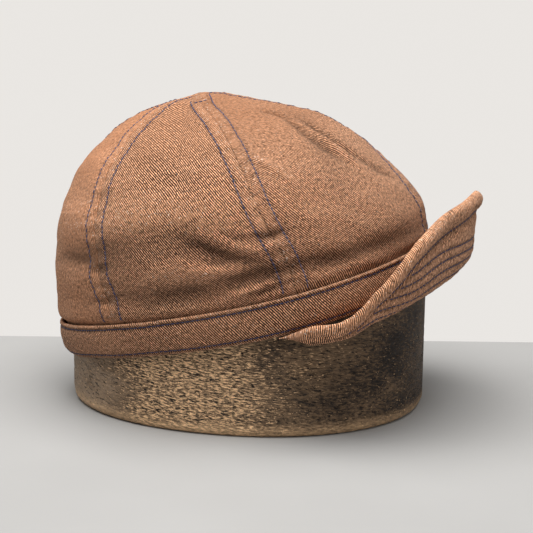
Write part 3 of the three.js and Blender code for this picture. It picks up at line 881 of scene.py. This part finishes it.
def crown_rows():
    """Two rows beside each seam, from the band up to where they meet the next seam's rows,
    and a short one that crosses the right-hand seam near the top."""
    groups = []
    heights = even_heights(*SEAM_ROW_ENDS.values())
    widths = np.diff(SEAMS)
    for number in range(len(PANELS)):
        seam = seam_azimuths(heights)[:, number]
        spread = crown_smooth(seam + 0.01, heights) - crown_smooth(seam - 0.01, heights)
        turn = seam_row(heights) / np.maximum(np.linalg.norm(spread, axis=-1) / 0.02, 1e-3)
        for side, width in ((-1, widths[number - 1]), (1, widths[number])):
            inside = turn < width / 2
            path, out, _, _ = crown_surface((seam + side * turn)[inside], heights[inside])
            groups.append(stitches_along(path, out))
    row = CROSSING_ROW
    beside = np.radians(np.linspace(row["start"], row["end"], row["steps"]))
    azimuth = seam_azimuths(row["height"])[row["seam"]] + beside
    path, out, _, _ = crown_surface(azimuth, row["height"])
    groups.append(stitches_along(path, out))
    return groups


def band_rows():
    azimuth = np.linspace(-math.pi, math.pi, BAND_ROW_STEPS)
    return [stitches_along(*band_surface(azimuth, height)) for height in (BAND_TOP_ROW, BAND_LOW_ROW)]


def brim_rows():
    """On both faces: the row beside the rolled edge, and the rows that keep a fixed way
    from the rim and end where they meet it."""
    groups = []
    azimuth = np.radians(np.linspace(*BRIM_ROW_SPAN.values()))
    length = brim_length(azimuth)
    for under in (True, False):
        inside = length > EDGE_ROW_LENGTH
        path, out = brim_face(azimuth[inside], np.full((inside.sum(), 1), BRIM_EDGE_ROW), under)
        groups.append(stitches_along(path[:, 0], out[:, 0]))
        for row in BRIM_ROWS:
            inside = length - row > BRIM_EDGE_ROW + ROW_CLEARANCE
            path, out = brim_face(azimuth[inside], (length[inside] - row)[:, None], under)
            groups.append(stitches_along(path[:, 0], out[:, 0]))
    return groups


# Hat block

BLOCK = {
    "half_length": 98.5, "half_width": 85.4, "foot": 4.0,
    "shoulder": 68.0, "dome": 84.0, "dome_squareness": 2.2,
}
BLOCK_STATIONS = 420
BLOCK_RADIUS = 92


def block_rings():
    """Heights, insets and scales of the block's level rings: round the foot, straight up
    and over the dome."""
    turn = np.linspace(0, math.pi / 2, 7)
    foot_z = BLOCK["foot"] * (1 - np.cos(turn))
    foot_inset = BLOCK["foot"] * (1 - np.sin(turn))
    wall = np.linspace(BLOCK["foot"], BLOCK["shoulder"], 92)[1:]
    rise = np.linspace(0, math.pi / 2, 20)[1:-1]
    power = 2 / BLOCK["dome_squareness"]
    dome = BLOCK["shoulder"] + BLOCK["dome"] * np.sin(rise) ** power
    z = np.concatenate([foot_z, wall, dome])
    inset = np.concatenate([foot_inset, wall * 0, dome * 0])
    scale = np.concatenate([foot_z * 0 + 1, wall * 0 + 1, np.cos(rise) ** power])
    return z[:, None], inset[:, None], scale[:, None]


def block_wear(around, z):
    """How deep the old wood is scored: long shallow grooves and short gouges, stretched
    along the level, and never above the plain surface."""
    grooves = np.clip(ripples(around * 0.35, z * 2.2, 7, 22, 41, 26) - 0.35, 0, 2)
    gouges = np.clip(ripples(around * 0.6, z * 2.6 + around * 0.15, 3.5, 9, 42, 30) - 0.8, 0, 2)
    patch = ease(-0.5, 0.9, ripples(around, z, 40, 120, 43, 10))
    return 0.22 * grooves + 0.42 * gouges * (0.35 + 0.65 * patch)


def add_block(material):
    z, inset, scale = block_rings()
    whole = np.linspace(-math.pi, math.pi, BLOCK_STATIONS + 1)[None, :]
    azimuth = whole[:, :-1]
    wear_and_shade = block_wear(azimuth * BLOCK_RADIUS, z) * ease(0, 3, z)
    length = (BLOCK["half_length"] - inset) * scale - wear_and_shade
    width = (BLOCK["half_width"] - inset) * scale - wear_and_shade
    x, y = oval(length, length, width, azimuth)
    loops = np.stack([x, y, np.broadcast_to(z, x.shape)], -1)
    loops[0, :, 2] = 0
    grid = np.stack(np.broadcast_arrays(whole * BLOCK_RADIUS, z), -1)
    # The scoring depth is also the crease mark, which paints shade into the grooves.
    marks = {"crease": wear_and_shade, "worn": np.broadcast_to(1 - ease(1, 9, z), wear_and_shade.shape)}
    points, faces, spread = loft(loops, grid, cap="fan")
    add_piece("hat_block_wood", points, faces, spread, material, marks, ["hat_block"])


# Shader wiring


class Wiring:
    """Adds nodes to one tree. An input is a number, a colour or another node's output."""

    def __init__(self, tree):
        self.tree = tree

    def add(self, kind, inputs=None, output=0, **settings):
        node = self.tree.nodes.new(kind)
        for name, value in settings.items():
            setattr(node, name, value)
        for key, value in (inputs or {}).items():
            if isinstance(value, bpy.types.NodeSocket):
                self.tree.links.new(value, node.inputs[key])
            else:
                node.inputs[key].default_value = value
        return node.outputs[output]

    def math(self, operation, *values):
        return self.add("ShaderNodeMath", dict(enumerate(values)), operation=operation)

    def times(self, a, b):
        return self.math("MULTIPLY", a, b)

    def plus(self, a, b):
        return self.math("ADD", a, b)

    def span(self, value, low, high, to_low=0.0, to_high=1.0):
        """The value's place between low and high, clamped, as a smooth step."""
        inputs = {"Value": value, "From Min": low, "From Max": high, "To Min": to_low, "To Max": to_high}
        return self.add("ShaderNodeMapRange", inputs, interpolation_type="SMOOTHSTEP")

    def noise(self, vector, scale, detail=2.0, roughness=0.5, distortion=0.0):
        inputs = {"Vector": vector, "Scale": scale, "Detail": detail}
        inputs |= {"Roughness": roughness, "Distortion": distortion}
        return self.add("ShaderNodeTexNoise", inputs)

    def stretched(self, vector, sizes):
        """The vector with each of its directions scaled by its own number."""
        return self.add("ShaderNodeVectorMath", {0: vector, 1: sizes}, operation="MULTIPLY")

    def mixed(self, share, a, b, blend="MIX"):
        inputs = {"Factor": share, 6: a, 7: b}
        return self.add("ShaderNodeMix", inputs, output=2, data_type="RGBA", blend_type=blend)

    def shaded(self, colour, shade):
        """The colour times a value that is the same for all three channels."""
        grey = self.add("ShaderNodeCombineColor", {0: shade, 1: shade, 2: shade})
        return self.mixed(1.0, colour, grey, "MULTIPLY")

    def swing(self, value, size):
        """How far a value stands from a half, times a size."""
        return self.times(self.math("SUBTRACT", value, 0.5), size)

    def split(self, vector):
        node = self.tree.nodes.new("ShaderNodeSeparateXYZ")
        self.tree.links.new(vector, node.inputs[0])
        return node.outputs[0], node.outputs[1]

    def cloth(self):
        """The place on the piece's own cloth, in metres."""
        return self.add("ShaderNodeUVMap", uv_map="cloth")

    def place(self):
        """The place in the object, in metres."""
        return self.add("ShaderNodeTexCoord", output="Object")

    def mark(self, name):
        """A mark that is kept on the piece's points."""
        return self.add("ShaderNodeAttribute", output="Fac", attribute_name=name)


SOCKETS = {"value": "NodeSocketFloat", "colour": "NodeSocketColor", "vector": "NodeSocketVector"}


def start_group(name, inputs, outputs):
    """An empty shader group with named sockets. Returns its wiring, its inputs by name and
    the node that its results go to."""
    tree = bpy.data.node_groups.new(name, "ShaderNodeTree")
    for socket, kind in inputs.items():
        tree.interface.new_socket(name=socket, in_out="INPUT", socket_type=SOCKETS[kind])
    for socket, kind in outputs.items():
        tree.interface.new_socket(name=socket, in_out="OUTPUT", socket_type=SOCKETS[kind])
    given = tree.nodes.new("NodeGroupInput")
    result = tree.nodes.new("NodeGroupOutput")
    return Wiring(tree), {socket: given.outputs[socket] for socket in inputs}, result


def finish_group(wiring, result, **values):
    for name, value in values.items():
        wiring.tree.links.new(value, result.inputs[name])
    return wiring.tree


def use_group(wiring, group, **values):
    """Places a group in a tree and returns its outputs by name."""
    node = wiring.tree.nodes.new("ShaderNodeGroup")
    node.node_tree = group
    for name, value in values.items():
        if isinstance(value, bpy.types.NodeSocket):
            wiring.tree.links.new(value, node.inputs[name])
        else:
            node.inputs[name].default_value = value
    return {socket.name: socket for socket in node.outputs}


def twill_group():
    """Twill: ribs at an angle to the weft, their spacing wandering a little, each crossed by
    the warp yarns, with slubs that run along the warp, uneven dye along the ribs and a
    coarser grain over all."""
    sizes = {"cloth": "vector", "angle": "value", "pitch": "value", "yarn": "value"}
    outputs = {"rib": "value", "height": "value", "slub": "value", "grain": "value"}
    w, given, result = start_group("twill_weave", sizes, outputs)
    across, up = w.split(given["cloth"])
    turn = w.math("RADIANS", given["angle"])
    run = w.math("SUBTRACT", w.times(across, w.math("SINE", turn)), w.times(up, w.math("COSINE", turn)))
    wander = w.noise(given["cloth"], 90.0, 2.0)
    waves = w.plus(w.math("DIVIDE", run, given["pitch"]), w.times(wander, 1.6))
    rib = w.plus(0.5, w.times(0.5, w.math("SINE", w.times(waves, 2 * math.pi))))
    yarns = w.math("SINE", w.times(w.math("DIVIDE", across, given["yarn"]), 2 * math.pi))
    rough = w.noise(w.stretched(given["cloth"], (1.0, 0.35, 1.0)), 1500.0, 2.0, 0.7)
    slub = w.noise(w.stretched(given["cloth"], (1.0, 0.07, 1.0)), 1100.0, 2.0, 0.6)
    height = w.plus(w.times(rib, w.plus(0.8, w.times(0.2, yarns))), w.times(rough, 0.35))
    uneven = w.plus(rib, w.swing(rough, 1.3))
    coarse = w.noise(given["cloth"], 640.0, 2.0, 0.65)
    grain = w.plus(1.0, w.plus(w.swing(coarse, 2.7), w.swing(rough, 1.4)))
    return finish_group(w, result, rib=uneven, height=height, slub=slub, grain=grain)


LINT = (0.75, 0.66, 0.58, 1.0)


def wear_and_shade_group():
    """Worn cloth with painted shade: broad fading, lighter where it rubs, painted shade in the
    creases and seam rows, with pale flecks of lint."""
    inputs = {"colour": "colour", "place": "vector", "crease": "value", "worn": "value", "pale": "colour"}
    w, given, result = start_group("cloth_wear_and_painted_shade", inputs, {"colour": "colour", "roughness": "value"})
    broad = w.noise(given["place"], 22.0, 3.0, 0.55)
    faded = w.mixed(w.span(broad, 0.3, 0.7, 0.0, 0.15), given["colour"], given["pale"])
    patchy = w.span(w.noise(given["place"], 260.0, 3.0, 0.6), 0.42, 0.66)
    rubbed = w.mixed(w.times(w.times(given["worn"], patchy), 0.50), faded, given["pale"])
    lint = w.span(w.noise(given["place"], 1200.0, 1.0), 0.66, 0.73)
    specks = w.times(lint, w.plus(0.18, w.times(given["worn"], 0.60)))
    flecked = w.mixed(specks, rubbed, LINT)
    # Painted shade: up to about half darker where the crease mark is full.
    shade = w.math("SUBTRACT", 1.0, w.times(w.math("MINIMUM", given["crease"], 1.0), 0.52))
    roughness = w.plus(0.82, w.times(broad, 0.16))
    return finish_group(w, result, colour=w.shaded(flecked, shade), roughness=roughness)


def new_material(name):
    """An empty node material with its own Principled shader."""
    material = bpy.data.materials.new(name)
    material.use_nodes = True
    tree = material.node_tree
    tree.nodes.clear()
    shader = tree.nodes.new("ShaderNodeBsdfPrincipled")
    out = tree.nodes.new("ShaderNodeOutputMaterial")
    tree.links.new(shader.outputs[0], out.inputs["Surface"])
    return material, Wiring(tree), shader


def attach(wiring, shader, colour, roughness, height, distance, strength=1.0):
    """Joins the colour, the roughness and a bump of a real height in metres to the shader."""
    wiring.tree.links.new(colour, shader.inputs["Base Color"])
    wiring.tree.links.new(roughness, shader.inputs["Roughness"])
    normal = wiring.add("ShaderNodeBump", {"Height": height, "Distance": distance, "Strength": strength})
    wiring.tree.links.new(normal, shader.inputs["Normal"])


DENIM_DARK = (0.008, 0.003, 0.002, 1.0)
DENIM_MIDDLE = (0.215, 0.080, 0.031, 1.0)
DENIM_LIGHT = (0.960, 0.515, 0.305, 1.0)
DENIM_PALE = (0.460, 0.235, 0.135, 1.0)
DENIM_NAP = (0.268, 0.114, 0.053, 1.0)
# Spacing of the warp yarns in metres.
YARN = 0.00042
# Each denim's angle from the weft, the spacing of its ribs in metres, and its tone, which is
# painted light and shade: lighter on the back panels and the brim, darker on the front and the band.
DENIMS = {
    "panel_denim": (57.0, 0.00104, 0.82),
    "front_denim": (58.0, 0.00096, 0.80),
    "back_denim": (68.0, 0.00095, 1.12),
    "band_denim": (57.0, 0.00100, 0.75),
    "brim_denim": (82.0, 0.00112, 1.12),
}
PANEL_DENIMS = ("back_denim", "panel_denim", "front_denim", "front_denim", "panel_denim", "back_denim")


def denim(name, twill, wear_and_shade, angle, pitch, tone):
    """Brown twill denim: dark between the ribs, copper on them and tan on their crests, the
    ribs hidden in part where the nap is raised, the whole colour scaled by the tone, which is
    painted light and shade for each part, and painted shade where the crease mark is high."""
    material, w, shader = new_material(name)
    place, crease, worn = w.place(), w.mark("crease"), w.mark("worn")
    weave = use_group(w, twill, cloth=w.cloth(), angle=angle, pitch=pitch, yarn=YARN)
    body = w.mixed(w.span(weave["rib"], 0.40, 0.66), DENIM_DARK, DENIM_MIDDLE)
    crest = w.mixed(w.span(weave["rib"], 0.65, 0.93), body, DENIM_LIGHT)
    toned = w.mixed(w.span(weave["slub"], 0.5, 0.8, 0.0, 0.20), crest, DENIM_PALE)
    raised = w.plus(w.mark("nap"), w.times(worn, 0.08))
    hiding = w.times(raised, w.span(w.noise(place, 34.0, 3.0), 0.25, 0.65, 0.55, 1.0))
    napped = w.mixed(w.math("MINIMUM", hiding, 0.85), toned, DENIM_NAP)
    # Painted light and shade: the tone scales the whole colour of each part's copy of the denim.
    grained_and_painted_light = w.shaded(napped, w.times(weave["grain"], tone))
    # Painted shade where the crease mark is high: folds, creases and sunk stitch rows.
    after_wear_and_shade = use_group(w, wear_and_shade, colour=grained_and_painted_light, place=place, crease=crease, worn=worn, pale=DENIM_PALE)
    attach(w, shader, after_wear_and_shade["colour"], after_wear_and_shade["roughness"], weave["height"], 0.00035, 0.8)
    shader.inputs["Specular IOR Level"].default_value = 0.12
    shader.inputs["Sheen Weight"].default_value = 0.10
    shader.inputs["Sheen Roughness"].default_value = 0.45
    shader.inputs["Sheen Tint"].default_value = (1.0, 0.78, 0.62, 1.0)
    return material


THREAD_DARK = (0.003, 0.005, 0.024, 1.0)
THREAD_BLUE = (0.016, 0.028, 0.120, 1.0)
THREAD_DUST = (0.06, 0.05, 0.07, 1.0)
# Length of one turn of the thread's twist, in metres.
THREAD_TWIST = 0.0007


def thread_material(wear_and_shade):
    """Navy sewing thread, twisted, a little glossy, and browned by dust."""
    material, w, shader = new_material("navy_thread")
    place = w.place()
    along, around = w.split(w.cloth())
    turns = w.plus(w.math("DIVIDE", along, THREAD_TWIST), w.times(around, 1 / MM))
    twist = w.math("SINE", w.times(turns, 2 * math.pi))
    shade = w.span(w.plus(twist, w.times(w.noise(place, 900.0), 1.2)), -0.6, 1.4)
    blue = w.mixed(shade, THREAD_DARK, THREAD_BLUE)
    after_wear_and_shade = use_group(w, wear_and_shade, colour=blue, place=place, crease=0.0, worn=0.15, pale=THREAD_DUST)
    attach(w, shader, after_wear_and_shade["colour"], w.math("SUBTRACT", after_wear_and_shade["roughness"], 0.3), twist, 0.00005)
    shader.inputs["Sheen Weight"].default_value = 0.1
    return material


WOOD_TAN = (0.940, 0.610, 0.340, 1.0)
WOOD_BROWN = (0.190, 0.120, 0.068, 1.0)
WOOD_DARK = (0.013, 0.008, 0.006, 1.0)
WOOD_GREY = (0.330, 0.235, 0.155, 1.0)
# Nearly black: the open grain, and the painted shade in the scored grooves.
WOOD_GAP_AND_GROOVE_SHADE = (0.007, 0.004, 0.003, 1.0)
# Where each zone of the block's finish starts and is full, in metres from its front round
# its right side. The zones no_grey and back end them before both ways round meet.
ZONES = {
    # paler: lighter from the dark front towards the near side, partly the wood's own colour and partly
    # painted light.
    "paler": (0.02, 0.13),
    "rubbed": (0.070, 0.145),
    "less": (0.165, 0.210),
    "grey": (0.175, 0.235),
    "no_grey": (0.235, 0.285),
    "back": (0.225, 0.288),
}


def grain_group():
    """Old wood: fine scars and long streaks drawn out along the level, thin dark gaps
    between them, small bare flecks and broad dark patina."""
    outputs = {"scar": "value", "streak": "value", "gap": "value", "fleck": "value", "patina": "value"}
    w, given, result = start_group("wood_grain", {"place": "vector"}, outputs)
    place = given["place"]
    slanted = w.add("ShaderNodeVectorRotate", {"Vector": place, "Angle": -0.11}, rotation_type="Z_AXIS")
    scar = w.noise(w.stretched(slanted, (1.0, 2.4, 1.0)), 330.0, 6.0, 0.66, 0.7)
    streak = w.noise(w.stretched(slanted, (0.8, 2.9, 1.0)), 470.0, 5.0, 0.72, 0.5)
    gap = w.noise(w.stretched(slanted, (0.9, 4.2, 1.0)), 300.0, 3.0, 0.6, 0.7)
    fleck = w.noise(w.stretched(slanted, (1.0, 1.8, 1.0)), 430.0, 2.0, 0.5, 0.6)
    patina = w.noise(w.stretched(place, (1.0, 1.4, 1.0)), 26.0, 4.0, 0.6, 0.4)
    return finish_group(w, result, scar=scar, streak=streak, gap=gap, fleck=fleck, patina=patina)


def wood_material(grain):
    """Hard wood dark with use, scored to bare tan wood where the hand has rubbed its near
    side, greyer behind, nearly black in front, partly from its own stain and partly from
    painted shade, with painted shade in the scored grooves, and paler round the foot."""
    material, w, shader = new_material("worn_wood")
    cloth = w.cloth()
    marks = use_group(w, grain, place=cloth)
    around, _ = w.split(cloth)
    wavering = w.plus(around, w.swing(marks["patina"], 0.10))
    rubbed = w.times(w.span(wavering, *ZONES["rubbed"]), w.span(wavering, *ZONES["less"], 1.0, 0.20))
    ending = w.span(around, *ZONES["back"], 1.0, 0.0)
    behind = w.times(w.span(wavering, *ZONES["grey"]), w.span(around, *ZONES["no_grey"], 1.0, 0.0))
    # Partly painted light: paler from the front towards the near side, so the front stays darker.
    paler = w.times(w.span(wavering, *ZONES["paler"], 0.0, 0.16), ending)
    level = w.plus(paler, w.swing(marks["patina"], 0.70))
    old = w.mixed(w.span(w.plus(marks["scar"], level), 0.36, 0.74), WOOD_DARK, WOOD_BROWN)
    greyed = w.mixed(w.times(behind, w.span(marks["patina"], 0.3, 0.6, 0.45, 0.95)), old, WOOD_GREY)
    ridged = w.times(w.times(rubbed, ending), 0.15)
    ridges = w.span(w.plus(marks["streak"], ridged), 0.60, 0.72, 0.0, 0.95)
    bare = w.mixed(ridges, greyed, WOOD_TAN)
    flecked = w.mixed(w.times(w.span(marks["fleck"], 0.69, 0.74), 0.9), bare, WOOD_TAN)
    open_grain = w.span(w.plus(marks["gap"], w.times(rubbed, 0.05)), 0.60, 0.64, 0.0, 0.97)
    gaps = w.mixed(open_grain, flecked, WOOD_GAP_AND_GROOVE_SHADE)
    # Painted shade: nearly black in the scored grooves.
    scored = w.mixed(w.span(w.mark("crease"), 0.30, 0.75, 0.0, 0.85), gaps, WOOD_GAP_AND_GROOVE_SHADE)
    bare_foot = w.times(w.mark("worn"), w.span(marks["scar"], 0.35, 0.6, 0.30, 0.6))
    foot = w.mixed(bare_foot, scored, WOOD_TAN)
    relief = w.math("SUBTRACT", marks["scar"], w.times(w.span(marks["gap"], 0.54, 0.64), 0.5))
    attach(w, shader, foot, w.span(marks["scar"], 0.3, 0.7, 0.45, 0.75), relief, 0.0022, 0.8)
    shader.inputs["Specular IOR Level"].default_value = 0.30
    return material


# Floor and light

FLOOR_COLOUR = (0.308, 0.308, 0.308, 1.0)
WALL_COLOUR = (0.82, 0.795, 0.765, 1.0)
FLOOR_NEAR = -1400.0
FLOOR_FAR = 122.0
FLOOR_HALF = 1500.0
# Strength of the even light from all round, against 1 for the backdrop that is seen.
FILL_STRENGTH = 0.425
# Each softbox's place, aim and width in millimetres, its power in watts and its colour.
SOFTBOXES = {
    "overhead": ((-30, -100, 900), (0, 0, 90), 900, 18.8, (1.0, 0.98, 0.95)),
    "near_right": ((800, -700, 400), (60, 0, 90), 700, 1.75, (1.0, 1.0, 1.0)),
}


def add_floor():
    """A plain pale table top, its far edge level across the picture behind the block."""
    ahead = np.array([CAMERA_AHEAD[0], CAMERA_AHEAD[1], 0])
    ahead = ahead / np.linalg.norm(ahead)
    right = np.array([ahead[1], -ahead[0], 0])
    ways = ((-1, FLOOR_NEAR), (1, FLOOR_NEAR), (1, FLOOR_FAR), (-1, FLOOR_FAR))
    corners = [ahead * way + right * side * FLOOR_HALF for side, way in ways]
    mesh = bpy.data.meshes.new("floor")
    mesh.from_pydata((np.array(corners) * MM).tolist(), [], [(0, 1, 2, 3)])
    material, w, shader = new_material("pale_floor")
    tone = w.span(w.noise(w.place(), 9.0, 4.0), 0.3, 0.7, 0.96, 1.0)
    roughness = w.span(tone, 0.96, 1.0, 0.7, 0.8)
    attach(w, shader, w.shaded(FLOOR_COLOUR, tone), roughness, tone, 0.0005)
    mesh.materials.append(material)
    floor = bpy.data.objects.new("floor", mesh)
    bpy.context.scene.collection.objects.link(floor)


def add_world():
    """A pale backdrop to look at, and a weaker even light from all round."""
    world = bpy.data.worlds.new("pale_backdrop")
    bpy.context.scene.world = world
    world.use_nodes = True
    tree = world.node_tree
    tree.nodes.clear()
    w = Wiring(tree)
    seen = w.add("ShaderNodeBackground", {"Color": WALL_COLOUR, "Strength": 1.0})
    fill = w.add("ShaderNodeBackground", {"Color": WALL_COLOUR, "Strength": FILL_STRENGTH})
    camera_ray = w.add("ShaderNodeLightPath", output="Is Camera Ray")
    both = w.add("ShaderNodeMixShader", {0: camera_ray, 1: fill, 2: seen})
    out = tree.nodes.new("ShaderNodeOutputWorld")
    tree.links.new(both, out.inputs["Surface"])


def add_softbox(name, place, aim, width, power, colour):
    """A square light that points from its place at its aim."""
    data = bpy.data.lights.new(name, "AREA")
    data.shape = "SQUARE"
    data.size = width * MM
    data.energy = power
    data.color = colour
    lamp = bpy.data.objects.new(name, data)
    towards = Vector(aim) - Vector(place)
    turn = towards.to_track_quat("-Z", "Y").to_matrix().to_4x4()
    lamp.matrix_world = Matrix.Translation(Vector(place) * MM) @ turn
    bpy.context.scene.collection.objects.link(lamp)


def main():
    add_camera()
    twill, wear_and_shade = twill_group(), wear_and_shade_group()
    cloths = {name: denim(name, twill, wear_and_shade, *finish) for name, finish in DENIMS.items()}
    for number, name in enumerate(PANEL_DENIMS):
        crown_panel(number, cloths[name])
    add_band(cloths["band_denim"])
    add_brim(cloths["brim_denim"])
    thread = thread_material(wear_and_shade)
    add_stitches("crown_stitching", crown_rows(), thread)
    add_stitches("band_stitching", band_rows(), thread)
    add_stitches("brim_stitching", brim_rows(), thread)
    add_block(wood_material(grain_group()))
    add_floor()
    add_world()
    for name, softbox in SOFTBOXES.items():
        add_softbox(name, *softbox)
    bpy.context.scene.view_settings.view_transform = "Standard"


main()
